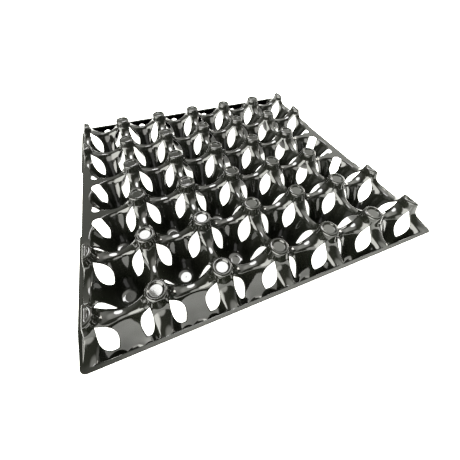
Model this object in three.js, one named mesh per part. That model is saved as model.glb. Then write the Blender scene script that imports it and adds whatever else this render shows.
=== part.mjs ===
// Formed plastic cell tray: thirty conical cups between hollow posts, with a row of half cups at the front
// and at the back, flanges along both sides and a lip along both ends. The tray is one thin sheet. It is
// divided here into named regions that meet face to face: one node for each cup, half cup, wall and edge.
// Millimetres, +Z up. The origin is the centre of the footprint, on the surface that the tray stands on.
import * as THREE from "three";

const PITCH = 47.6; // from one post to the next, both ways
const COLUMNS = 6; // cups across
const ROWS = 5; // full cups from front to back
const SHEET = 1.1; // thickness of the formed sheet
const TOP = 47; // rim of a post, the highest point
const VALLEY = 32; // lowest point between two posts, and height of the side flanges
const LIP_HEIGHT = 28; // height of the lips along the two ends
const DISH = 1.4; // depth of the dish in a post's top

const CUP_RADIUS = 19.4; // inside of a cup at the height of the lips
const CUP_SLOPE = 2.39; // rise of a cup's wall for each millimetre of radius
const FOOT_RADIUS = 7.6; // flat floor of a cup

const POST_RADIUS = 6.2; // rim of a post
const SADDLE_RADIUS = 16.7; // half width of the round valley between two posts
const SADDLE_TOP = 44.7; // height at which its sides stand upright
const SADDLE_STEPS = [7.8, 13.8, 16.4]; // distances from the middle of the valley where it is drawn
const RIDGE_EDGE = 1.5; // drop from a ridge's crest to the cup's wall

const LEAF_LOW = 12.1; // lower tip of the leaf-shaped opening in each corner of a cup
const LEAF_HIGH = 40.1; // its upper tip, under the post's head
const LEAF_LOWER_SIDE = { height: 18, halfAngle: 17.5 };
const LEAF_UPPER_SIDE = { height: 31, halfAngle: 15.5 };
const OPEN_LEAF_TIP = 27.2; // where there is no post, it ends in the flat land this far from the cup's axis
const OPEN_LEAF_SIDE = { height: 29, halfAngle: 16.5 };
const OPEN_LEAF_EDGE = { radius: 24.2, halfAngle: 10.5 };

const POST_LINES = [0, 1, 4, 5]; // lines of posts, from the back, that also have a half post at each side
const FLANGE = 5.6; // width of the side flanges
const FLANGE_INSET = 1.3; // their middle stretch is narrower by this
const INSET_HALF_LENGTH = 0.93 * PITCH;
const LIP = 2.9; // width of the end lips
const LIP_DROP = 1.2; // the lips turn down by this along their outer edge
const CORNER_RADIUS = 3.9;

const SIDE_WALL_SLOPE = 5; // rise of the leaning walls below the half posts for each millimetre inwards
const SIDE_WALL_TOP = 1.3; // how far in those walls end, at the posts' rims
const HALF_POST_CORNER = 5.9; // half length of the straight side of a half post's head
const HALF_POST_DISH = 4.2; // its dish, from the last line of the grid

const END_DRAFT = THREE.MathUtils.degToRad(14); // the ends lean inwards towards the base
const HALF_FOOT_HEIGHT = 3; // top of a half cup's small floor
const ARCH_WIDTH = 9; // slot in the end wall at the middle of each column
const ARCH_TOP = 4.8; // from the lip down to the top of the slot
const GAP = 0.3; // between the end walls and the half cups

const HALF = PITCH / 2;
const SIDE = (COLUMNS * PITCH) / 2; // half of the square that the cups and half cups fill
const EPSILON = 1e-4;

const plastic = { color: 0x0a0b0a, roughness: 0.1, metalness: 0 };
const tray = new THREE.Group();
tray.name = "tray";

function addMesh(name, geometry) {
  const mesh = new THREE.Mesh(geometry, new THREE.MeshStandardMaterial(plastic));
  mesh.name = name;
  tray.add(mesh);
  return mesh;
}

const wallRadius = (height) => CUP_RADIUS + (height - LIP_HEIGHT) / CUP_SLOPE;

// Height of a ridge's crest, at a distance from its lowest point.
const saddleHeight = (fromLowest, lowest) =>
  SADDLE_TOP - (SADDLE_TOP - lowest) * Math.sqrt(1 - (fromLowest / SADDLE_RADIUS) ** 2);

// The walls along the sides lean in going up. They cross the last line of the grid at this height, and the
// crests of the ridges there reach it at this distance from their lowest point.
const CROSSING_HEIGHT = TOP - SIDE_WALL_TOP * SIDE_WALL_SLOPE;
const crossing = (lowest) =>
  SADDLE_RADIUS * Math.sqrt(1 - ((SADDLE_TOP - CROSSING_HEIGHT) / (SADDLE_TOP - lowest)) ** 2);

// A point on a cup's wall, at an angle in degrees from the nearer edge of its square.
function onWall(angle, height) {
  const radius = wallRadius(height);
  const turn = THREE.MathUtils.degToRad(angle);
  return new THREE.Vector3(radius * Math.cos(turn), radius * Math.sin(turn), height);
}

// An eighth of a cup's square, from the middle of one side (y = 0) to the corner (x = y): its named points
// and the triangles between them. Where hasPost is false the land is flat up to the corner. The cup's wall
// ends at the height of its foot, and lowest is the height of the ridge in the middle of the side.
function eighth(hasPost, foot = SHEET, lowest = VALLEY) {
  const upperSide = hasPost ? LEAF_UPPER_SIDE : OPEN_LEAF_SIDE;
  const crest = SADDLE_STEPS.map((step) => (hasPost ? saddleHeight(step, lowest) : lowest));
  const head = hasPost ? TOP : lowest;
  const shoulder = HALF - POST_RADIUS * Math.SQRT1_2;
  const openTip = OPEN_LEAF_TIP * Math.SQRT1_2;
  const footRadius = Math.max(FOOT_RADIUS, wallRadius(foot));
  const footDiagonal = footRadius * Math.SQRT1_2;
  const points = {
    middle: new THREE.Vector3(0, 0, foot),
    footSide: new THREE.Vector3(footRadius, 0, foot),
    footCorner: new THREE.Vector3(footDiagonal, footDiagonal, foot),
    wallSide: onWall(0, LEAF_LOW),
    leafLow: onWall(45, LEAF_LOW),
    leafLowerSide: onWall(45 - LEAF_LOWER_SIDE.halfAngle, LEAF_LOWER_SIDE.height),
    leafUpperSide: onWall(45 - upperSide.halfAngle, upperSide.height),
    leafHigh: hasPost ? onWall(45, LEAF_HIGH) : new THREE.Vector3(openTip, openTip, lowest),
    wallTop: onWall(0, lowest - RIDGE_EDGE),
    ridgeMiddle: new THREE.Vector3(HALF, 0, lowest),
    ridgeLow: new THREE.Vector3(HALF, SADDLE_STEPS[0], crest[0]),
    ridgeHigh: new THREE.Vector3(HALF, SADDLE_STEPS[1], crest[1]),
    neck: new THREE.Vector3(HALF, SADDLE_STEPS[2], crest[2]),
    rimSide: new THREE.Vector3(HALF, HALF - POST_RADIUS, head),
    rimCorner: new THREE.Vector3(shoulder, shoulder, head),
    dish: new THREE.Vector3(HALF, HALF, hasPost ? TOP - DISH : lowest),
  };
  const openEdge = THREE.MathUtils.degToRad(45 - OPEN_LEAF_EDGE.halfAngle);
  points.openEdge = new THREE.Vector3(Math.cos(openEdge), Math.sin(openEdge), 0)
    .multiplyScalar(OPEN_LEAF_EDGE.radius)
    .setZ(lowest);
  const floor = [["middle", "footSide", "footCorner"]];
  const wall = [
    ["footSide", "wallSide", "leafLow"],
    ["footSide", "leafLow", "footCorner"],
    ["wallSide", "leafLowerSide", "leafLow"],
    ["wallSide", "wallTop", "leafLowerSide"],
    ["wallTop", "leafUpperSide", "leafLowerSide"],
  ];
  const ridge = [
    ["wallTop", "ridgeMiddle", "ridgeLow"],
    ["wallTop", "ridgeLow", "leafUpperSide"],
    ["leafUpperSide", "ridgeLow", "ridgeHigh"],
    ...(hasPost
      ? [["leafUpperSide", "ridgeHigh", "leafHigh"]]
      : [
          ["leafUpperSide", "ridgeHigh", "openEdge"],
          ["openEdge", "ridgeHigh", "leafHigh"],
        ]),
    ["leafHigh", "ridgeHigh", "neck"],
    ["leafHigh", "neck", "rimCorner"],
    ["rimCorner", "neck", "rimSide"],
    ["rimCorner", "rimSide", "dish"],
  ];
  return { points, floor, wall, ridge };
}

// The eighth next to the side of the tray: its post is cut off by the leaning wall. Where swapped is true it
// is the eighth on the other side of the corner, which shares the post's head with the first.
function sideEighth(swapped, foot, lowest = VALLEY) {
  const { points, floor, wall, ridge } = eighth(true, foot, lowest);
  const dish = new THREE.Vector3(HALF - HALF_POST_DISH, HALF, TOP - DISH);
  if (swapped) {
    points.dish.set(dish.y, dish.x, dish.z);
    return { points, floor, wall, ridge };
  }
  points.dish.copy(dish);
  points.neck.set(HALF, crossing(lowest), CROSSING_HEIGHT);
  points.rimSide.set(HALF - SIDE_WALL_TOP, HALF - HALF_POST_CORNER, TOP);
  points.rimEnd = new THREE.Vector3(HALF - SIDE_WALL_TOP, HALF, TOP);
  points.wallEnd = new THREE.Vector3(HALF, HALF, CROSSING_HEIGHT);
  const leaning = [
    ["rimSide", "neck", "wallEnd"],
    ["rimSide", "wallEnd", "rimEnd"],
    ["rimSide", "rimEnd", "dish"],
  ];
  return { points, floor, wall, ridge: [...ridge, ...leaning] };
}

// A closed shell of the sheet's thickness under a surface that never folds back over itself. A point on one
// of the planes stays on it, so that neighbouring shells meet exactly. A point close inside a plane stays
// inside: the shell is thinner there. The floor's underside is level.
function shell(points, triangles, planes) {
  const normals = points.map(() => new THREE.Vector3());
  const upward = triangles.map(([a, b, c]) => {
    const normal = new THREE.Vector3()
      .subVectors(points[b], points[a])
      .cross(new THREE.Vector3().subVectors(points[c], points[a]));
    const turned = normal.z < 0;
    normal.multiplyScalar(turned ? -1 : 1);
    [a, b, c].forEach((corner) => normals[corner].add(normal));
    return turned ? [a, c, b] : [a, b, c];
  });
  const under = points.map((point, index) => {
    const normal = normals[index];
    planes.forEach((plane) => {
      if (Math.abs(plane.distanceToPoint(point)) < EPSILON)
        normal.addScaledVector(plane.normal, -normal.dot(plane.normal));
    });
    const below = point.clone().addScaledVector(normal.normalize(), -SHEET);
    planes.forEach((plane) => {
      const room = -plane.distanceToPoint(point);
      const moved = plane.distanceToPoint(below) + room;
      if (room > EPSILON && moved > room / 2) below.lerp(point, 1 - room / 2 / moved);
    });
    if (point.z < SHEET + EPSILON) below.z = 0;
    return below;
  });
  const count = points.length;
  const faces = [];
  const edges = new Map();
  upward.forEach(([a, b, c]) => {
    faces.push([a, b, c], [a + count, c + count, b + count]);
    [[a, b], [b, c], [c, a]].forEach(([from, to]) => {
      if (!edges.delete(`${to},${from}`)) edges.set(`${from},${to}`, [from, to]);
    });
  });
  edges.forEach(([from, to]) => {
    faces.push([from, from + count, to + count], [from, to + count, to]);
  });
  const geometry = new THREE.BufferGeometry();
  const flat = [...points, ...under].flatMap((point) => point.toArray());
  geometry.setAttribute("position", new THREE.Float32BufferAttribute(flat, 3));
  geometry.setIndex(faces.flat());
  geometry.computeVertexNormals();
  return geometry;
}

// Collects points and triangles from mirrored eighths, sharing the points where the eighths meet.
class Surface {
  points = [];
  triangles = [];
  known = new Map();

  add(point) {
    const key = point.toArray().map((value) => value.toFixed(3)).join();
    if (!this.known.has(key)) {
      this.known.set(key, this.points.length);
      this.points.push(point);
    }
    return this.known.get(key);
  }

  addPart(points, triangles, place) {
    triangles.forEach((names) => {
      this.triangles.push(names.map((name) => this.add(place(points[name].clone(), name))));
    });
  }
}

function squarePlanes() {
  return [1, -1].flatMap((sign) => [
    new THREE.Plane(new THREE.Vector3(sign, 0, 0), -HALF),
    new THREE.Plane(new THREE.Vector3(0, sign, 0), -HALF),
  ]);
}

// A full cup on its square. hasPost(signX, signY) says whether that corner of the square carries a post, and
// atSide(signX) whether that side of the square is a side of the tray.
function cup(hasPost, atSide) {
  const surface = new Surface();
  for (const signX of [1, -1])
    for (const signY of [1, -1])
      for (const swapped of [false, true]) {
        const post = hasPost(signX, signY);
        const { points, floor, wall, ridge } = post && atSide(signX) ? sideEighth(swapped) : eighth(post);
        surface.addPart(points, [...floor, ...wall, ...ridge], (point) => {
          const [along, across] = swapped ? [point.y, point.x] : [point.x, point.y];
          return point.set(signX * along, signY * across, point.z);
        });
      }
  return shell(surface.points, surface.triangles, squarePlanes());
}

// A half cup: the half of a cup on its +Y side, cut off by the leaning end of the tray above a small floor.
function halfCup(atSide) {
  const surface = new Surface();
  const cutPoints = ["footSide", "wallSide", "wallTop"];
  for (const signX of [1, -1])
    for (const swapped of [false, true]) {
      const lowest = swapped ? VALLEY : LIP_HEIGHT;
      const part = atSide(signX)
        ? sideEighth(swapped, HALF_FOOT_HEIGHT, lowest)
        : eighth(true, HALF_FOOT_HEIGHT, lowest);
      const { points, floor, wall, ridge } = part;
      surface.addPart(points, [...floor, ...wall, ...ridge], (point, name) => {
        const leaned = (LIP_HEIGHT - point.z) * Math.tan(END_DRAFT);
        if (name === "middle") return point.set(0, leaned, point.z);
        if (swapped) return point.set(signX * point.y, point.x, point.z);
        if (cutPoints.includes(name)) point.set(Math.sqrt(point.x ** 2 - leaned ** 2), leaned, point.z);
        return point.set(signX * point.x, point.y, point.z);
      });
    }
  const endNormal = new THREE.Vector3(0, Math.cos(END_DRAFT), Math.sin(END_DRAFT));
  const lipPoint = new THREE.Vector3(0, 0, LIP_HEIGHT);
  const end = new THREE.Plane().setFromNormalAndCoplanarPoint(endNormal, lipPoint);
  return shell(surface.points, surface.triangles, [...squarePlanes(), end]);
}

// How far the right flange's outer edge is from the middle of the tray, at a distance along the side.
function flangeEdge(along) {
  const fromInset = Math.max(Math.abs(along) - INSET_HALF_LENGTH, 0);
  const edge = SIDE + FLANGE - FLANGE_INSET + Math.min(fromInset, FLANGE_INSET);
  const cornerStart = SIDE + LIP - CORNER_RADIUS;
  const intoCorner = THREE.MathUtils.clamp(Math.abs(along) - cornerStart, 0, CORNER_RADIUS);
  return edge - CORNER_RADIUS + Math.sqrt(CORNER_RADIUS ** 2 - intoCorner ** 2);
}

// Height of the side flange: it comes down to the lips between the last posts and the ends.
function flangeHeight(along) {
  const pastPosts = THREE.MathUtils.clamp((Math.abs(along) - (SIDE - HALF)) / HALF, 0, 1);
  return VALLEY + (LIP_HEIGHT - VALLEY) * pastPosts;
}

// The crests along the last line of the grid, from front to back: [distance along the side, height].
function sideProfile() {
  const profile = [[-SIDE, LIP_HEIGHT]];
  for (let line = ROWS; line >= 0; line--) {
    const centre = (ROWS / 2 - line) * PITCH;
    const rise = (lowest) => [
      ...SADDLE_STEPS.slice(0, 2).map((step) => [HALF - step, saddleHeight(step, lowest)]),
      [HALF - crossing(lowest), CROSSING_HEIGHT],
    ];
    const before = rise(line === ROWS ? LIP_HEIGHT : VALLEY);
    const after = rise(line === 0 ? LIP_HEIGHT : VALLEY).toReversed();
    if (POST_LINES.includes(line)) {
      profile.push(...before.map(([back, height]) => [centre - back, height]));
      profile.push([centre, CROSSING_HEIGHT]);
      profile.push(...after.map(([ahead, height]) => [centre + ahead, height]));
    }
    if (line > 0) profile.push([centre + HALF, VALLEY]);
  }
  return [...profile, [SIDE, LIP_HEIGHT]];
}

// The right flange with the leaning walls that close the half posts above it.
function rightFlange() {
  const end = SIDE + LIP;
  const cornerStart = end - CORNER_RADIUS;
  const corner = [0.35, 0.7, 0.92, 1].map((share) => cornerStart + share * CORNER_RADIUS);
  const extra = [...corner, INSET_HALF_LENGTH, INSET_HALF_LENGTH + FLANGE_INSET];
  const profile = sideProfile();
  const crestAt = (along) => {
    const next = profile.findIndex(([other]) => other > along);
    if (next < 1) return LIP_HEIGHT;
    const [[from, low], [to, high]] = [profile[next - 1], profile[next]];
    return low + ((high - low) * (along - from)) / (to - from);
  };
  const stations = [...profile.map(([along]) => along), ...extra, ...extra.map((along) => -along)];
  stations.sort((a, b) => a - b);
  const surface = new Surface();
  const rows = stations.map((along) => {
    const crest = crestAt(along + EPSILON / 10);
    const low = Math.min(flangeHeight(along), crest);
    const edge = flangeEdge(along);
    const wallX = (height) => Math.min(SIDE + (CROSSING_HEIGHT - height) / SIDE_WALL_SLOPE, edge - EPSILON);
    return [
      [SIDE, crest],
      [wallX(crest), crest],
      [wallX(low), low],
      [edge, low],
    ].map(([x, z]) => surface.add(new THREE.Vector3(x, along, z)));
  });
  rows.slice(1).forEach((row, index) => {
    const before = rows[index];
    for (let k = 0; k < row.length - 1; k++)
      [
        [before[k], before[k + 1], row[k + 1]],
        [before[k], row[k + 1], row[k]],
      ].forEach((triangle) => {
        if (new Set(triangle).size === 3) surface.triangles.push(triangle);
      });
  });
  return shell(surface.points, surface.triangles, [new THREE.Plane(new THREE.Vector3(-1, 0, 0), SIDE)]);
}

function extruded(outline, depth) {
  return new THREE.ExtrudeGeometry(outline, { depth, bevelEnabled: false, curveSegments: 4 });
}

// The lip along the front edge: a flat strip, turned down along its outside.
function frontLip() {
  const inner = SHEET - LIP;
  const section = new THREE.Shape([
    new THREE.Vector2(0, -SHEET),
    new THREE.Vector2(inner, -SHEET),
    new THREE.Vector2(inner, -SHEET - LIP_DROP),
    new THREE.Vector2(-LIP, -SHEET - LIP_DROP),
    new THREE.Vector2(-LIP, -SHEET / 3),
    new THREE.Vector2(-LIP + SHEET / 3, 0),
    new THREE.Vector2(0, 0),
  ]);
  return extruded(section, 2 * SIDE)
    .rotateX(Math.PI / 2)
    .rotateZ(Math.PI / 2)
    .translate(-SIDE, -SIDE, LIP_HEIGHT);
}

// The leaning wall below the front lip. It closes the half cups, and has an arched slot at each of them.
function frontEndWall() {
  const radius = ARCH_WIDTH / 2;
  const along = (height) => (height - LIP_HEIGHT) / Math.cos(END_DRAFT);
  const halfWidth = (height) =>
    Math.sqrt(wallRadius(height) ** 2 - ((LIP_HEIGHT - height) * Math.tan(END_DRAFT)) ** 2);
  const sides = [LIP_HEIGHT - ARCH_TOP, 16, 10, HALF_FOOT_HEIGHT];
  const outline = new THREE.Shape();
  outline.moveTo(-SIDE, -SHEET - GAP);
  outline.lineTo(-SIDE, along(sides[0]));
  for (let column = 0; column < COLUMNS; column++) {
    const centre = (column + 0.5) * PITCH - SIDE;
    sides.forEach((height) => outline.lineTo(centre - halfWidth(height), along(height)));
    outline.lineTo(centre - radius, along(HALF_FOOT_HEIGHT));
    outline.absarc(centre, -ARCH_TOP - radius, radius, Math.PI, 0, true);
    outline.lineTo(centre + radius, along(HALF_FOOT_HEIGHT));
    sides.toReversed().forEach((height) => outline.lineTo(centre + halfWidth(height), along(height)));
  }
  outline.lineTo(SIDE, along(sides[0]));
  outline.lineTo(SIDE, -SHEET - GAP);
  return extruded(outline, SHEET)
    .rotateX(Math.PI / 2)
    .rotateX(END_DRAFT)
    .translate(0, -SIDE - GAP, LIP_HEIGHT);
}

const atSide = (column, signX) => column === (signX > 0 ? COLUMNS - 1 : 0);

for (let row = 0; row < ROWS; row++)
  for (let column = 0; column < COLUMNS; column++) {
    const hasPost = (signX, signY) => {
      const postColumn = column + (signX + 1) / 2;
      const postLine = row + (1 - signY) / 2;
      return (postColumn > 0 && postColumn < COLUMNS) || POST_LINES.includes(postLine);
    };
    const x = (column + 0.5) * PITCH - SIDE;
    const y = (ROWS / 2 - row - 0.5) * PITCH;
    const geometry = cup(hasPost, (signX) => atSide(column, signX));
    addMesh(`cup_r${ROWS - row}_c${column + 1}`, geometry).position.set(x, y, 0);
  }

for (let column = 0; column < COLUMNS; column++) {
  const x = (column + 0.5) * PITCH - SIDE;
  const half = halfCup((signX) => atSide(column, signX));
  addMesh(`front_half_cup_${column + 1}`, half).position.set(x, -SIDE, 0);
  const behind = addMesh(`back_half_cup_${COLUMNS - column}`, half);
  behind.position.set(-x, SIDE, 0);
  behind.rotation.z = Math.PI;
}

const flange = rightFlange();
addMesh("right_side_flange", flange);
addMesh("left_side_flange", flange).rotation.z = Math.PI;

const lip = frontLip();
addMesh("front_lip", lip);
addMesh("back_lip", lip).rotation.z = Math.PI;

const endWall = frontEndWall();
addMesh("front_end_wall", endWall);
addMesh("back_end_wall", endWall).rotation.z = Math.PI;

export default tray;
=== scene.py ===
"""Looks of a black plastic cell tray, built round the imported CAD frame. Metres, +Z up.

The tray is one thin moulded sheet, so every piece takes its shape from one height function: height(x, y) is
the top of the sheet anywhere on the tray. Each CAD node is replaced by a finer piece of that sheet.
"""
import math

import bpy
import numpy as np
from mathutils import Matrix, Vector


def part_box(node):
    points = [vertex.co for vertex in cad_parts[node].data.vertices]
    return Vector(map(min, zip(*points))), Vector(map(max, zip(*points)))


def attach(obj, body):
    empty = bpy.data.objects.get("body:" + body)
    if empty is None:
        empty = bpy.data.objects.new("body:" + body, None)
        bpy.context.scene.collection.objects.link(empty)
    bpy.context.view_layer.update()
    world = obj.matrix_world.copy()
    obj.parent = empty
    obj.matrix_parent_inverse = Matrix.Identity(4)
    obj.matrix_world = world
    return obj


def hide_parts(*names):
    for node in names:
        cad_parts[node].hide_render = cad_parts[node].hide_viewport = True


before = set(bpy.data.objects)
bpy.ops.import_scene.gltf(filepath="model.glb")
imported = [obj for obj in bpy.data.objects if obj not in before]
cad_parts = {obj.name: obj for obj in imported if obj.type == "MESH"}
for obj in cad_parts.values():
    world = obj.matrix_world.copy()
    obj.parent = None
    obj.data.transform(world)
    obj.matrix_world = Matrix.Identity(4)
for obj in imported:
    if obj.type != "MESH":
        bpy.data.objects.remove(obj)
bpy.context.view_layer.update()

# The grid, from the frame.
COLUMNS, ROWS = 6, 5
TILE_LOW, TILE_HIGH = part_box("cup_r3_c3")
PITCH = TILE_HIGH.x - TILE_LOW.x
HALF = PITCH / 2
SIDE = COLUMNS * PITCH / 2
TOP = TILE_HIGH.z
VALLEY = 0.032  # lowest point between two posts, and height of the side flanges
LAND = 0.028  # height of the lips along the ends
SHEET = 0.0011

# A cup: a cone with a flat foot.
CUP_RADIUS = 0.0194  # at the height of the lips
CUP_SLOPE = 2.39  # rise over run, as for all slopes here
FOOT_DISC = 0.0046  # radius of the level disc in the middle of the foot
FOOT_SLOPE = 0.25  # of the ring round it
PIP_RADIUS = 0.0005  # the small moulding mark in its middle
PIP_RISE = 0.00015

# Posts and the ridges between them.
SADDLE_RADIUS = 0.0167  # half width of the round valley between two posts
SADDLE_TOP = 0.0447  # height at which its sides would stand upright
SADDLE_END = 0.0164  # the ridge rises straight from here to the post's head
RIDGE_CROWN = 0.010  # radius across the top of a ridge
CROWN_FADE = HALF / 3  # length over which a ridge turns round where a level edge runs into it
HEAD_RADIUS = 0.0079
HEAD_ROUND = 0.0020  # rounded shoulder of the head
HEAD_SLOPE = 3.0  # its side
HEAD_FOOT = 0.0092  # from here inwards the surface turns up steeply to the head
HEAD_FLARE = 0.0022  # plan width of that turn
HEAD_LIFT = 0.006  # and its height
RING_WIDTH = 0.0018  # the raised ring round the head's dish
RING_EDGE = 0.0019  # plan width of the ring's inner side
DISH = 0.0014

# Leaf-shaped openings in the corners of each cup.
LEAF_INNER = 0.01276  # distances of the two tips from the cup's axis
LEAF_OUTER = 0.02447
LEAF_HALF_ANGLE = math.radians(19.3)
LEAF_SKEW = 0.72  # the leaf is widest nearer its lower tip
OPEN_LEAF_CENTRE = 0.0216  # where there is no post, the leaf ends in a half circle in the flat land
OPEN_LEAF_RADIUS = 0.0050

# Sides and ends.
SIDE_WALL_FOOT = 0.0025  # from the last line of posts to where the side wall is as low as the lips
SIDE_WALL_SLOPE = 5.0
FLANGE = 0.0052  # from the last line of posts to the flange's edge
FLANGE_INSET = 0.0013  # how much narrower it is along the middle of the side
INSET_END = 0.93 * PITCH
LIP = 0.0025  # width of the lips
CORNER = 0.0040  # radius of the tray's corners
END_SLOPE = 4.01
ARCH_HALF = 0.0045  # half width of the arched slots in the end walls
ARCH_TOP = 0.0232
POCKET_FLOOR = 0.00283  # floor of a half cup at an end
END_ZONE = 0.008  # plan depth within which an end wall can be the top of the sheet

# Rounding where two surfaces meet, as a difference in height.
ROUND_RIDGE = 0.003
ROUND_HEAD = 0.0008
ROUND_FOOT = 0.0050
ROUND_WALL = 0.004
ROUND_FILLET = 0.006
ROUND_POCKET = 0.0030
ROUND_LIP = 0.0018
ROUND_DIAGONAL = 0.004
ROUND_DISC = 0.0001
ROUND_CORNER = 0.001
FADE = 0.006  # height over which the rounding of a side or end wall fades out
SOFT = 1.8  # how much wider the main rounds are on the underside
EDGE_BULGE = 0.00045  # how far a free edge's half round stands out
EDGE_STEPS = 3

# The mesh of an eighth of a cup's square: rays from the cup's axis, rings round it, and a fan of rows from
# the foot of the post to its middle. The lists that end in 1 are shares of the way, the others lengths.
RAYS_SIDE = 13  # rays that end on the open part of a side of the square
RAYS_POST = 14  # rays that end on the foot of the post
RAY_SPACING = 0.9  # below 1, the first kind stand closer together towards the post
POST_PATCH = 0.0090  # radius of the foot of the post
BARE_PATCH = 0.0045  # the same where no post stands
FLAT_COLUMNS = 7  # columns along the straight edge of a head at the tray's side
FLAT_MIDDLE = 0.0042  # the middle of such a head, from the corner of the square
# Radii of the rings from a cup's axis to the lower tips of its leaves.
FOOT_RINGS = [0, 0.00015, 0.0003, 0.0005, 0.0010, 0.0025, 0.0041, 0.0044, 0.0046, 0.0048, 0.0051, 0.0057,
              0.0063, 0.0070, 0.0077, 0.0085, 0.0095, 0.0110]
POCKET_RINGS = [0.00887, 0.0095, 0.0105, 0.0116]  # the same in a half cup, outside its straight inner edge
POCKET_CHORD = POCKET_RINGS[0] * math.sqrt(0.5)  # that edge's distance from the end line
POCKET_EDGE = 0.009  # just past the ends of that edge, from the cup's axis
HALVES = np.array([[0], [0.5], [1]])  # the three rows of a patch that needs no more
LEAF_RINGS = 24
RING_INSET = 0.0015  # the last of the leaf's rings, from the side of the square
OUTER_RINGS = [0.08, 0.18, 0.3, 0.44, 0.6, 0.8, 1]
FAN_OUTER = [0, 0.14, 0.28, 0.4, 0.5, 0.6, 0.68, 0.75, 0.81, 0.86, 0.9, 0.94, 0.97, 1]
FAN_RIM = [0.00003, 0.0001, 0.0002, 0.00035, 0.00055, 0.0008, 0.0011, 0.0014, 0.0017, 0.0020, 0.0023, 0.0026,
           0.0029, 0.0032, 0.0035, 0.0037, 0.0039]
RIM_LIMIT = 0.9  # share of the way to the head's middle that the rim's rows may take
FAN_INNER = [0.4, 0.75, 0.82, 0.91, 1]
WALL_LEVELS = [LAND, 0.0276, 0.0270, 0.0262, 0.0252, 0.0242]  # of an end wall, above its slots
WALL_COLUMNS = 13
FLANGE_COLUMNS = 26
LIP_COLUMNS = 144
LIP_ROWS = np.array([0, 0.06, 0.12, 0.2, 0.4, 0.7, 1])
INSET_STEP = 0.0006  # half the length over which the flange's edge steps in
NEAR = 1e-7  # how far off a straight border a point may be
NEAR_CURVE = 2e-6  # and off a curved one

# Light. Each glow of the soft surroundings is its direction, the cosine of the angle to it where the glow
# starts and where it is full, and its strength.
GLOWS = [
    ((0.30, 0.20, 0.93), 0.80, 0.97, 3.4),
    ((0.20, 0.90, 0.40), 0.30, 0.80, 0.9),
    ((0.95, 0.20, 0.25), 0.60, 0.95, 1.6),
    ((-0.85, -0.50, 0.14), 0.72, 0.86, 14.0),
    ((-0.10, -0.98, 0.12), 0.93, 0.98, 6.0),
]
GLOW_BASE = 0.14
GLOW_SEEN = 1.1  # strength of the surroundings where the camera looks straight at them
FLOOR_SIZE = 30
FLOOR_GAP = 0.0002  # below the feet
FLOOR_GLOW = 1.0

# Camera: a close view from the front left, looking down over the tray, with the frame shifted a little.
CAMERA_PLACE = Vector((-0.0827, -0.1999, 0.2136))
CAMERA_FORWARD = Vector((0.27186, 0.66922, -0.69154))
CAMERA_RIGHT = Vector((0.93212, -0.36177, 0.01634))
CAMERA_LENS = 19.46
CAMERA_SHIFT = (0.0194, -0.1014)


def low_blend(a, b, k):
    """The lower of two heights, rounded where they meet."""
    k = np.maximum(k, 1e-9)
    near = np.clip(1 - np.abs(a - b) / k, 0, 1)
    return np.minimum(a, b) - near * near * k / 4


def high_blend(a, b, k):
    """The higher of two heights, rounded where they meet."""
    return -low_blend(-a, -b, k)


def ramp(t):
    """A smooth step from 0 to 1."""
    t = np.clip(t, 0, 1)
    return t * t * (3 - 2 * t)


def locate(x, y):
    """Where a point is on the grid: its distances from the tray's middle and from its cup's axis, its column
    and row counted from the middle, and whether its corner is at the tray's side or on its middle line."""
    ax, ay = np.abs(x), np.abs(y)
    column = np.clip(np.floor(ax / PITCH), 0, COLUMNS // 2 - 1)
    row = np.floor(np.minimum(ay, SIDE) / PITCH + 0.5)
    across = ax - (column + 0.5) * PITCH
    along = np.minimum(ay, SIDE) - row * PITCH
    at_side = (column == COLUMNS // 2 - 1) & (across > 0)
    middle_line = np.where(along >= 0, row, row - 1) == 0
    return ax, ay, np.minimum(np.abs(across), HALF), np.abs(along), column, row, at_side, middle_line


def ridge_rise(s):
    """Rise of a round valley's floor at a distance s from its lowest point, for a valley as deep as it is
    wide."""
    straight = np.maximum(s - SADDLE_END, 0)
    s = np.minimum(s, SADDLE_END)
    slope = SADDLE_END / math.sqrt(SADDLE_RADIUS ** 2 - SADDLE_END ** 2)
    return SADDLE_RADIUS - np.sqrt(SADDLE_RADIUS ** 2 - s * s) + slope * straight


def head_profile(inside):
    """The head of a post, from the distance inside its outline."""
    t = np.clip(inside / HEAD_ROUND, 0, 1)
    shoulder = HEAD_ROUND * (1 - np.sqrt(1 - (1 - t) ** 2))
    return TOP - shoulder + HEAD_SLOPE * np.minimum(inside, 0)


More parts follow.
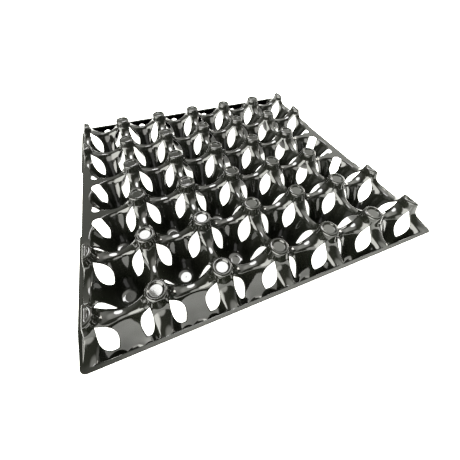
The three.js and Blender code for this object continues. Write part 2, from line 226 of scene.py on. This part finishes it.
def height(x, y, soft=False):
    """The top of the sheet. soft leaves out the small steps and widens the rounds, for a calm underside.

    It starts with the cup, adds the heads of the posts, and then cuts it all off at the sides and ends.
    """
    ax, ay, u, v, column, row, at_side, middle_line = locate(x, y)
    more = SOFT if soft else 1.0
    post = ~(at_side & middle_line)
    pocket = row == ROWS // 2 + 1
    r = np.hypot(u, v)
    s = low_blend(u, v, ROUND_DIAGONAL)
    from_crest = low_blend(HALF - u, HALF - v, ROUND_DIAGONAL)
    on_side_edge = at_side & (u >= v)
    on_middle_line = middle_line & (v > u)
    mixed = (on_side_edge & (row == 1)) | (on_middle_line & (column == COLUMNS // 2 - 1))
    crown = from_crest ** 2 / (2 * RIDGE_CROWN) * np.where(mixed, ramp(s / CROWN_FADE), 1)
    valley = np.where(pocket & (u >= v), LAND, VALLEY)
    rim = LAND + (VALLEY - LAND) * ramp((SIDE - ay) / HALF)
    rise = ridge_rise(s) * (SADDLE_TOP - valley) / SADDLE_RADIUS
    crest = valley + np.where(post, rise - crown, 0)
    cone = LAND + CUP_SLOPE * (r - CUP_RADIUS)
    floor = SHEET + high_blend(FOOT_SLOPE * (r - FOOT_DISC), 0, ROUND_DISC)
    if not soft:
        floor = floor + PIP_RISE * ramp(1 - r / PIP_RADIUS)
    floor = np.where(pocket, POCKET_FLOOR, floor)
    z = low_blend(high_blend(floor, cone, ROUND_FOOT * more), crest, ROUND_RIDGE * more)
    wall = LAND + (SIDE + SIDE_WALL_FOOT - ax) * SIDE_WALL_SLOPE
    rho = np.hypot(HALF - u, HALF - v)
    inside = low_blend(HEAD_RADIUS - rho, np.where(at_side, (wall - TOP) / SIDE_WALL_SLOPE, 1), ROUND_CORNER)
    dish = 0 if soft else DISH * ramp((inside - RING_WIDTH) / RING_EDGE)
    raised = z + HEAD_LIFT * ramp((HEAD_FOOT - rho) / HEAD_FLARE)
    head = low_blend(raised, head_profile(HEAD_RADIUS - rho) - dish, ROUND_HEAD)
    z = np.where(post & (rho < HEAD_FOOT), head, z)
    wall = high_blend(wall, rim, ROUND_FILLET)
    z = low_blend(z, wall, ROUND_WALL * more * np.clip((z - rim) / FADE, 0, 1))
    end = LAND - (SIDE - ay) * END_SLOPE
    end = low_blend(end, LAND, ROUND_LIP * (3 if soft else 1))
    ended = high_blend(z, end, ROUND_POCKET * more * np.clip((LAND - z) / FADE, 0, 1))
    return np.where(ay > SIDE - END_ZONE, ended, z)


def unit(v):
    """Vectors brought to length 1."""
    return v / np.maximum(np.linalg.norm(v, axis=-1, keepdims=True), 1e-12)


def normals_at(x, y, soft=False):
    """Upward unit normals of the sheet."""
    step = 1e-6
    dx = (height(x + step, y, soft) - height(x - step, y, soft)) / (2 * step)
    dy = (height(x, y + step, soft) - height(x, y - step, soft)) / (2 * step)
    return unit(np.stack([-dx, -dy, np.ones_like(dx)], axis=-1))


class Sheet:
    """Collects grids of plan points, and closes them into a piece of sheet with rounded free edges."""

    def __init__(self):
        self.points, self.quads = [], []
        self.count = 0

    def grid(self, x, y, flip=False):
        """Adds a grid of plan points, rows by columns. flip turns its faces over, for a mirrored grid."""
        rows, columns = x.shape
        index = self.count + np.arange(rows * columns).reshape(rows, columns)
        quads = np.stack([index[:-1, :-1], index[1:, :-1], index[1:, 1:], index[:-1, 1:]], -1).reshape(-1, 4)
        self.quads.append(quads[:, ::-1] if flip else quads)
        self.points.append(np.stack([x.ravel(), y.ravel()], 1))
        self.count += rows * columns

    def merged(self):
        """All plan points, each once, and the faces between them."""
        points = np.concatenate(self.points)
        _, first, inverse = np.unique(np.round(points * 1e6).astype(np.int64), axis=0,
                                      return_index=True, return_inverse=True)
        quads = inverse.reshape(-1)[np.concatenate(self.quads)]
        faces = [tuple(dict.fromkeys(q)) for q in quads.tolist()]
        return points[first], [f for f in faces if len(f) > 2]

    def build(self, name, is_joint):
        """Makes the mesh. is_joint says whether an edge meets a neighbour, and so is closed flat."""
        points, faces = self.merged()
        n = len(points)
        x, y = points[:, 0], points[:, 1]
        top = np.stack([x, y, height(x, y)], 1)
        up = normals_at(x, y, soft=True)
        bottom = top - SHEET * up
        bottom[:, 2] = np.maximum(bottom[:, 2], 0)
        edges = boundary(faces)
        joint = [e for e in edges if is_joint(points[e[0]], points[e[1]])]
        free = [e for e in edges if not is_joint(points[e[0]], points[e[1]])]
        round_verts, round_normals, round_faces = half_rounds(free, top, bottom, up)
        verts = np.concatenate([top, bottom, round_verts])
        normals = unit(np.concatenate([normals_at(x, y), -up, round_normals]))
        smooth_faces = faces + [tuple(i + n for i in reversed(f)) for f in faces] + round_faces
        flat_faces = [(b, a, a + n, b + n) for a, b in joint]
        flat_normals = [unit(np.cross(verts[a] - verts[b], verts[a + n] - verts[a])) for a, b in joint]
        corner_normals = np.concatenate([
            normals[[i for f in smooth_faces for i in f]],
            np.repeat(np.reshape(flat_normals, (-1, 3)), 4, axis=0),
        ])
        mesh = bpy.data.meshes.new(name)
        mesh.from_pydata(verts.tolist(), [], smooth_faces + flat_faces)
        mesh.polygons.foreach_set("use_smooth", [True] * len(mesh.polygons))
        mesh.normals_split_custom_set(corner_normals.tolist())
        return mesh


def boundary(faces):
    """The edges that only one face has, each in its face's direction."""
    edges = {}
    for f in faces:
        for a, b in zip(f, f[1:] + f[:1]):
            if edges.pop((b, a), None) is None:
                edges[(a, b)] = True
    return list(edges)


def half_rounds(edges, top, bottom, up):
    """A half round along the free edges, from the top to the underside: its new points, normals and faces."""
    n = len(top)
    along = {}
    for a, b in edges:
        way = unit(top[b] - top[a])
        for i in (a, b):
            along[i] = along.get(i, 0) + way
    arcs, points, normals = {}, [], []
    for i, way in along.items():
        outward = unit(np.cross(way, up[i]))
        middle = (top[i] + bottom[i]) / 2
        half = (top[i] - bottom[i]) / 2
        first = 2 * n + len(points)
        for k in range(1, EDGE_STEPS):
            angle = math.pi * k / EDGE_STEPS
            points.append(middle + half * math.cos(angle) + outward * (EDGE_BULGE * math.sin(angle)))
            normals.append(up[i] * math.cos(angle) + outward * math.sin(angle))
        arcs[i] = [i, *range(first, 2 * n + len(points)), i + n]
    faces = [(arcs[b][k], arcs[a][k], arcs[a][k + 1], arcs[b][k + 1])
             for a, b in edges for k in range(EDGE_STEPS)]
    return np.reshape(points, (-1, 3)), np.reshape(normals, (-1, 3)), faces


def leaf_half_angle(r, open_top):
    """Half the leaf's width at a distance from the cup's axis, as an angle round it."""
    widest = 0.5 ** (1 / LEAF_SKEW)
    share = np.clip((r - LEAF_INNER) / (LEAF_OUTER - LEAF_INNER), 0, widest if open_top else 1)
    angle = LEAF_HALF_ANGLE * np.sin(math.pi * share ** LEAF_SKEW)
    if open_top:
        past_centre = np.clip(r - OPEN_LEAF_CENTRE, 0, OPEN_LEAF_RADIUS)
        angle = np.minimum(angle, np.arcsin(np.sqrt(OPEN_LEAF_RADIUS ** 2 - past_centre ** 2) / r))
    return angle


def outer_points(patch=POST_PATCH):
    """Where the rays of an eighth end: along the side, then round the foot of the post to the diagonal."""
    side = np.linspace(0, 1, RAYS_SIDE + 1) ** RAY_SPACING * (HALF - patch)
    turn = np.linspace(0, math.pi / 4, RAYS_POST + 1)[1:]
    x = np.concatenate([np.full(RAYS_SIDE + 1, HALF), HALF - patch * np.sin(turn)])
    y = np.concatenate([side, HALF - patch * np.cos(turn)])
    return x, y


def wall_lean(r):
    """Distance from the end line at which the end wall meets the cone of a half cup, r from its axis."""
    return max(CUP_RADIUS - r, 0) * CUP_SLOPE / END_SLOPE


def cup_eighth(open_top, cut_by_end=False, over_end=False):
    """Plan points of the eighth x >= y >= 0 of a cup's square, up to the foot of the post.

    The end wall cuts a half cup off along the x axis (cut_by_end), or passes over its middle (over_end).
    """
    qx, qy = outer_points(BARE_PATCH if open_top else POST_PATCH)
    share = np.arctan2(qy, qx) / (math.pi / 4)
    rows_x, rows_y = [], []

    def start_angle(r):
        if not cut_by_end:
            return 0.0
        return math.asin(min(wall_lean(r) / r, math.sqrt(0.5)))

    outer = OPEN_LEAF_CENTRE + OPEN_LEAF_RADIUS if open_top else LEAF_OUTER
    for r in POCKET_RINGS if cut_by_end or over_end else FOOT_RINGS:
        begin = start_angle(r)
        angle = begin + share * (math.pi / 4 - begin)
        rows_x.append(r * np.cos(angle))
        rows_y.append(r * np.sin(angle))
    side_end = HALF - RING_INSET
    for t in (1 - np.cos(np.linspace(0, math.pi, LEAF_RINGS + 1))) / 2:
        edge_radius = LEAF_INNER + (outer - LEAF_INNER) * t
        side_radius = LEAF_INNER + (side_end - LEAF_INNER) * t
        radius = side_radius + (edge_radius - side_radius) * share ** 2
        end_angle = math.pi / 4 - leaf_half_angle(edge_radius, open_top)
        begin = np.array([start_angle(q) for q in radius])
        angle = begin * (1 - share) + share * end_angle
        rows_x.append(radius * np.cos(angle))
        rows_y.append(radius * np.sin(angle))
    last_x, last_y = rows_x[-1], rows_y[-1]
    for t in OUTER_RINGS:
        rows_x.append(last_x + (qx - last_x) * t)
        rows_y.append(last_y + (qy - last_y) * t)
    return np.array(rows_x), np.array(rows_y)


def post_fan(flat_side, off_centre):
    """Plan points of the part of a post's head in one eighth, from the foot of the post (first row) to its
    middle. Columns run from the side of the square to the diagonal. At the tray's side the head is cut off by
    the leaning wall, so its middle is off the grid, and the fan on that side has more columns, along the
    straight edge of the head."""
    qx, qy = outer_points()
    qx, qy = qx[RAYS_SIDE:], qy[RAYS_SIDE:]
    turn = np.linspace(0, math.pi / 4, RAYS_POST + 1)
    ox, oy = HALF - HEAD_RADIUS * np.sin(turn), HALF - HEAD_RADIUS * np.cos(turn)
    if flat_side:
        flat = np.linspace(0, 1, FLAT_COLUMNS + 1)[:-1]
        flat_x = HALF + SIDE_WALL_FOOT - (TOP - LAND) / SIDE_WALL_SLOPE
        corner = math.asin((HALF - flat_x) / HEAD_RADIUS)
        turn = corner + (math.pi / 4 - corner) * np.linspace(0, 1, RAYS_POST + 1)
        ox, oy = HALF - HEAD_RADIUS * np.sin(turn), HALF - HEAD_RADIUS * np.cos(turn)
        qx = np.concatenate([np.full(FLAT_COLUMNS, HALF), qx])
        qy = np.concatenate([HALF + (qy[0] - HALF) * flat, qy])
        ox = np.concatenate([np.full(FLAT_COLUMNS, flat_x), ox])
        oy = np.concatenate([HALF + (oy[0] - HALF) * flat, oy])
    mx, my = np.full_like(ox, HALF), np.full_like(oy, HALF)
    if flat_side:
        mx = mx - FLAT_MIDDLE
    elif off_centre:
        my = my - FLAT_MIDDLE
    rows_x = [qx + (ox - qx) * t for t in FAN_OUTER]
    rows_y = [qy + (oy - qy) * t for t in FAN_OUTER]
    span = np.hypot(ox - mx, oy - my)
    for depth in FAN_RIM:
        t = np.minimum(depth / span, RIM_LIMIT)
        rows_x.append(ox + (mx - ox) * t)
        rows_y.append(oy + (my - oy) * t)
    last_x, last_y = rows_x[-1], rows_y[-1]
    for t in FAN_INNER:
        rows_x.append(last_x + (mx - last_x) * t)
        rows_y.append(last_y + (my - last_y) * t)
    return np.array(rows_x), np.array(rows_y)


def bare_fan():
    """Plan points of the flat corner of a square where no post stands, in one eighth."""
    qx, qy = outer_points(BARE_PATCH)
    qx, qy = qx[RAYS_SIDE:], qy[RAYS_SIDE:]
    return qx + (HALF - qx) * HALVES, qy + (HALF - qy) * HALVES


def add_eighth(sheet, centre, sign_x, sign_y, swapped, x, y):
    """Adds an eighth's plan points, mirrored into its quarter of a cup's square, and over the diagonal if
    swapped."""
    if swapped:
        x, y = y, x
    sheet.grid(centre[0] + sign_x * x, centre[1] + sign_y * y, flip=(sign_x * sign_y < 0) != swapped)


def on_square(a, b, cx, cy):
    """Whether both ends of an edge lie on one side of the square round a cup's axis."""
    on_x = all(abs(abs(p[0] - cx) - HALF) < NEAR for p in (a, b))
    on_y = all(abs(abs(p[1] - cy) - HALF) < NEAR for p in (a, b))
    return on_x or on_y


def corner_kind(cx, cy, sign_x, sign_y):
    """What stands at a corner of a cup's square: (no post, at the tray's side)."""
    px, py = cx + sign_x * HALF, cy + sign_y * HALF
    at_side = abs(px) > SIDE - HALF
    return at_side and abs(py) < PITCH, at_side


def cup_mesh(name, cx, cy):
    """A whole cup with its shares of the ridges and posts round it."""
    sheet = Sheet()
    for sign_x in (1, -1):
        for sign_y in (1, -1):
            bare, at_side = corner_kind(cx, cy, sign_x, sign_y)
            for swapped in (False, True):
                add_eighth(sheet, (cx, cy), sign_x, sign_y, swapped, *cup_eighth(bare))
                fan = bare_fan() if bare else post_fan(at_side and not swapped, at_side)
                add_eighth(sheet, (cx, cy), sign_x, sign_y, swapped, *fan)
    return sheet.build(name, lambda a, b: on_square(a, b, cx, cy))


def half_cup_mesh(name, cx, toward):
    """Half a cup. toward is +1 for the front row, which lies on the +Y side of its end line, and -1 for the
    back row."""
    cy = -toward * SIDE
    sheet = Sheet()
    for sign_x in (1, -1):
        _, at_side = corner_kind(cx, cy, sign_x, toward)
        for swapped in (False, True):
            x, y = cup_eighth(False, cut_by_end=not swapped, over_end=swapped)
            add_eighth(sheet, (cx, cy), sign_x, toward, swapped, x, y)
            if swapped:
                inner_x = POCKET_CHORD + (x[0] - POCKET_CHORD) * HALVES
                add_eighth(sheet, (cx, cy), sign_x, toward, True, inner_x, y[0] + 0 * HALVES)
            fan = post_fan(at_side and not swapped, at_side)
            add_eighth(sheet, (cx, cy), sign_x, toward, swapped, *fan)

    def on_end(p):
        u, v = abs(p[0] - cx), abs(p[1] - cy)
        r = math.hypot(u, v)
        on_chord = v < POCKET_CHORD + NEAR_CURVE / 2 and r < POCKET_EDGE
        return on_chord or abs(v - wall_lean(r)) < NEAR_CURVE

    def is_joint(a, b):
        return on_square(a, b, cx, cy) or (on_end(a) and on_end(b))

    return sheet.build(name, is_joint)


def wall_at(z):
    """An end wall at a height: its distance from the end line, and half the width of a half cup there."""
    lean = (LAND - z) / END_SLOPE
    reach = CUP_RADIUS + (z - LAND) / CUP_SLOPE
    return lean, math.sqrt(max(reach ** 2 - lean ** 2, 0))


def end_wall_mesh(name, toward):
    """The wall that closes the half cups of one end, with an arched slot in each."""
    sheet = Sheet()
    arch_centre = ARCH_TOP - ARCH_HALF
    levels = np.concatenate([
        WALL_LEVELS,
        arch_centre + ARCH_HALF * np.cos(np.linspace(0, math.pi / 2, 7)),
        np.linspace(arch_centre, POCKET_FLOOR, 9)[1:],
    ])
    for column in range(COLUMNS):
        cx = (column + 0.5) * PITCH - SIDE
        for sign_x in (1, -1):
            x, y = [], []
            for z in levels:
                lean, outer = wall_at(z)
                above = np.clip(z - arch_centre, 0, ARCH_HALF)
                inner = math.sqrt(ARCH_HALF ** 2 - above ** 2)
                x.append(inner + (outer - inner) * np.linspace(0, 1, WALL_COLUMNS))
                y.append(np.full(WALL_COLUMNS, lean))
            x, y = np.array(x), np.array(y)
            sheet.grid(cx + sign_x * x, toward * (y - SIDE), flip=sign_x * toward < 0)

    def borders(p):
        from_end = abs(abs(p[1]) - SIDE)
        cx = (math.floor((p[0] + SIDE) / PITCH) + 0.5) * PITCH - SIDE
        z = LAND - from_end * END_SLOPE
        _, outer = wall_at(z)
        on_cup = abs(abs(p[0] - cx) - outer) < NEAR_CURVE
        return from_end < NEAR or on_cup or z < POCKET_FLOOR + NEAR_CURVE / 2

    return sheet.build(name, lambda a, b: borders(a) and borders(b))


def on_grid_edge(a, b):
    """Whether both ends of an edge lie on one side of the square that the cups fill."""
    return any(all(abs(abs(p[axis]) - SIDE) < NEAR for p in (a, b)) for axis in (0, 1))


def outer_edge(along):
    """Distance of the flange's outer edge from the tray's middle, at a distance along the side."""
    edge = SIDE + FLANGE - FLANGE_INSET * ramp((INSET_END + INSET_STEP - along) / (2 * INSET_STEP))
    into_corner = np.clip(along - (SIDE + LIP - CORNER), 0, CORNER)
    return edge - (CORNER - np.sqrt(CORNER ** 2 - into_corner ** 2))


def flange_mesh(name, sign):
    """The flange along one side, with the leaning wall that closes the half posts."""
    side_points = outer_points()[1][:RAYS_SIDE + 1]
    post_points = HALF - (HALF - side_points[-1]) * np.linspace(0, 1, FLAT_COLUMNS + 1)[:-1]
    quarter = np.sort(np.concatenate([side_points, post_points]))
    half_tile = np.concatenate([quarter, PITCH - quarter[:-1]])
    along = np.unique(np.round(np.concatenate(
        [half_tile + k * PITCH for k in range(3)]
        + [INSET_END + np.linspace(-INSET_STEP, INSET_STEP, 5)]
        + [SIDE + LIP - CORNER * (1 - np.sin(np.linspace(0, math.pi / 2, 9)))]
    ), 9))
    along = along[along <= SIDE + LIP + 1e-9]
    along = np.concatenate([-along[:0:-1], along])
    x = np.zeros((FLANGE_COLUMNS, len(along)))
    y = np.tile(along, (FLANGE_COLUMNS, 1))
    dense = np.linspace(0, 1, 400)
    for k, a in enumerate(along):
        edge = outer_edge(abs(a))
        across = SIDE + (edge - SIDE) * dense
        z = height(across, np.full_like(across, a))
        way = np.concatenate([[0], np.cumsum(np.hypot(np.diff(across), np.diff(z)))])
        x[:, k] = np.interp(np.linspace(0, way[-1], FLANGE_COLUMNS), way, across)
    sheet = Sheet()
    sheet.grid(sign * x, y, flip=sign < 0)
    return sheet.build(name, on_grid_edge)


def lip_mesh(name, toward):
    """The narrow level rim outside one end wall."""
    x, y = np.meshgrid(np.linspace(-SIDE, SIDE, LIP_COLUMNS + 1), SIDE + LIP * LIP_ROWS)
    sheet = Sheet()
    sheet.grid(x, -toward * y, flip=toward < 0)
    return sheet.build(name, on_grid_edge)


def plastic_material():
    """Black moulded plastic, highly glossy, with faint flow waves and a fine mould texture."""
    material = bpy.data.materials.new("black_plastic")
    material.use_nodes = True
    nodes, links = material.node_tree.nodes, material.node_tree.links
    shader = nodes["Principled BSDF"]
    shader.inputs["IOR"].default_value = 1.5
    coordinates = nodes.new("ShaderNodeTexCoord")

    def noise(scale, detail):
        node = nodes.new("ShaderNodeTexNoise")
        node.inputs["Scale"].default_value = scale
        node.inputs["Detail"].default_value = detail
        links.new(coordinates.outputs["Object"], node.inputs["Vector"])
        return node.outputs["Fac"]

    def spread(value, low, high):
        node = nodes.new("ShaderNodeMapRange")
        node.inputs["From Min"].default_value = 0.3
        node.inputs["From Max"].default_value = 0.7
        node.inputs["To Min"].default_value = low
        node.inputs["To Max"].default_value = high
        links.new(value, node.inputs["Value"])
        return node.outputs["Result"]

    tone = nodes.new("ShaderNodeMix")
    tone.data_type = "RGBA"
    tone.inputs["A"].default_value = (0.0035, 0.0040, 0.0030, 1)
    tone.inputs["B"].default_value = (0.0075, 0.0080, 0.0060, 1)
    links.new(noise(35, 3), tone.inputs["Factor"])
    links.new(tone.outputs["Result"], shader.inputs["Base Color"])
    links.new(spread(noise(90, 3), 0.035, 0.085), shader.inputs["Roughness"])
    waves = nodes.new("ShaderNodeBump")
    waves.inputs["Strength"].default_value = 0.35
    waves.inputs["Distance"].default_value = 0.0006
    links.new(noise(70, 1), waves.inputs["Height"])
    grain = nodes.new("ShaderNodeBump")
    grain.inputs["Strength"].default_value = 0.08
    grain.inputs["Distance"].default_value = 0.0001
    links.new(noise(900, 2), grain.inputs["Height"])
    links.new(waves.outputs["Normal"], grain.inputs["Normal"])
    links.new(grain.outputs["Normal"], shader.inputs["Normal"])
    return material


PLASTIC = plastic_material()


def add_piece(mesh, node):
    """Puts a mesh in the scene in place of its CAD node."""
    piece = bpy.data.objects.new(mesh.name, mesh)
    bpy.context.scene.collection.objects.link(piece)
    mesh.materials.append(PLASTIC)
    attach(piece, "root")
    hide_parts(node)


for row in range(ROWS):
    for column in range(COLUMNS):
        node = f"cup_r{row + 1}_c{column + 1}"
        cx = (column + 0.5) * PITCH - SIDE
        cy = (row - (ROWS - 1) / 2) * PITCH
        add_piece(cup_mesh(f"{node}_sheet", cx, cy), node)
for end, toward in (("front", 1), ("back", -1)):
    for column in range(COLUMNS):
        node = f"{end}_half_cup_{column + 1}"
        add_piece(half_cup_mesh(f"{node}_sheet", (column + 0.5) * PITCH - SIDE, toward), node)
    add_piece(end_wall_mesh(f"{end}_end_wall_sheet", toward), f"{end}_end_wall")
    add_piece(lip_mesh(f"{end}_lip_sheet", toward), f"{end}_lip")
add_piece(flange_mesh("left_side_flange_sheet", -1), "left_side_flange")
add_piece(flange_mesh("right_side_flange_sheet", 1), "right_side_flange")


def add_floor():
    """A plain pale floor, just under the feet."""
    bpy.ops.mesh.primitive_plane_add(size=FLOOR_SIZE, location=(0, 0, -FLOOR_GAP))
    floor = bpy.context.object
    floor.name = "floor"
    material = bpy.data.materials.new("pale_floor")
    material.use_nodes = True
    shader = material.node_tree.nodes["Principled BSDF"]
    shader.inputs["Base Color"].default_value = (0.9, 0.9, 0.89, 1)
    shader.inputs["Roughness"].default_value = 0.9
    shader.inputs["Emission Color"].default_value = (1, 1, 0.95, 1)
    shader.inputs["Emission Strength"].default_value = FLOOR_GLOW
    floor.data.materials.append(material)


def add_light(name, position, target, size_x, size_y, power, colour=(1, 1, 1)):
    """A soft oval lamp."""
    data = bpy.data.lights.new(name, "AREA")
    data.shape = "ELLIPSE"
    data.size, data.size_y = size_x, size_y
    data.energy = power
    data.color = colour
    light = bpy.data.objects.new(name, data)
    bpy.context.scene.collection.objects.link(light)
    light.location = position
    light.rotation_euler = (Vector(target) - Vector(position)).to_track_quat("-Z", "Y").to_euler()


def add_world():
    """Soft surroundings: the glows on top of an even base."""
    world = bpy.data.worlds.new("studio")
    bpy.context.scene.world = world
    world.use_nodes = True
    nodes, links = world.node_tree.nodes, world.node_tree.links
    background = nodes["Background"]
    background.inputs["Color"].default_value = (1, 1, 0.93, 1)
    direction = nodes.new("ShaderNodeTexCoord").outputs["Generated"]
    total = None
    for toward, start, full, strength in GLOWS:
        cosine = nodes.new("ShaderNodeVectorMath")
        cosine.operation = "DOT_PRODUCT"
        cosine.inputs[1].default_value = Vector(toward).normalized()
        links.new(direction, cosine.inputs[0])
        glow = nodes.new("ShaderNodeMapRange")
        glow.interpolation_type = "SMOOTHSTEP"
        glow.inputs["From Min"].default_value = start
        glow.inputs["From Max"].default_value = full
        glow.inputs["To Max"].default_value = strength
        links.new(cosine.outputs["Value"], glow.inputs["Value"])
        add = nodes.new("ShaderNodeMath")
        add.inputs[1].default_value = GLOW_BASE
        links.new(glow.outputs["Result"], add.inputs[0])
        if total:
            links.new(total, add.inputs[1])
        total = add.outputs["Value"]
    # Seen directly, the surroundings are plain.
    plain = nodes.new("ShaderNodeMix")
    plain.inputs["B"].default_value = GLOW_SEEN
    links.new(nodes.new("ShaderNodeLightPath").outputs["Is Camera Ray"], plain.inputs["Factor"])
    links.new(total, plain.inputs["A"])
    links.new(plain.outputs["Result"], background.inputs["Strength"])


def add_camera():
    """Looks along CAMERA_FORWARD from CAMERA_PLACE."""
    camera_data = bpy.data.cameras.new("camera")
    camera = bpy.data.objects.new("camera", camera_data)
    bpy.context.scene.collection.objects.link(camera)
    forward = CAMERA_FORWARD.normalized()
    right = CAMERA_RIGHT.normalized()
    up = right.cross(forward)
    turn = Matrix((right, up, -forward)).transposed().to_4x4()
    camera.matrix_world = Matrix.Translation(CAMERA_PLACE) @ turn
    camera_data.sensor_width = 36
    camera_data.lens = CAMERA_LENS
    camera_data.shift_x, camera_data.shift_y = CAMERA_SHIFT
    camera_data.clip_start = 0.01
    bpy.context.scene.camera = camera


add_floor()
add_light("overhead", (0.02, 0.53, 1.0), (-0.05, 0.0, 0.04), 0.5, 0.64, 16)
add_light("right", (1.1, 0.2, 0.28), (0, 0, 0.04), 0.5, 0.3, 6, (1, 0.97, 0.88))
add_world()
add_camera()

bpy.context.scene.view_settings.view_transform = "Standard"
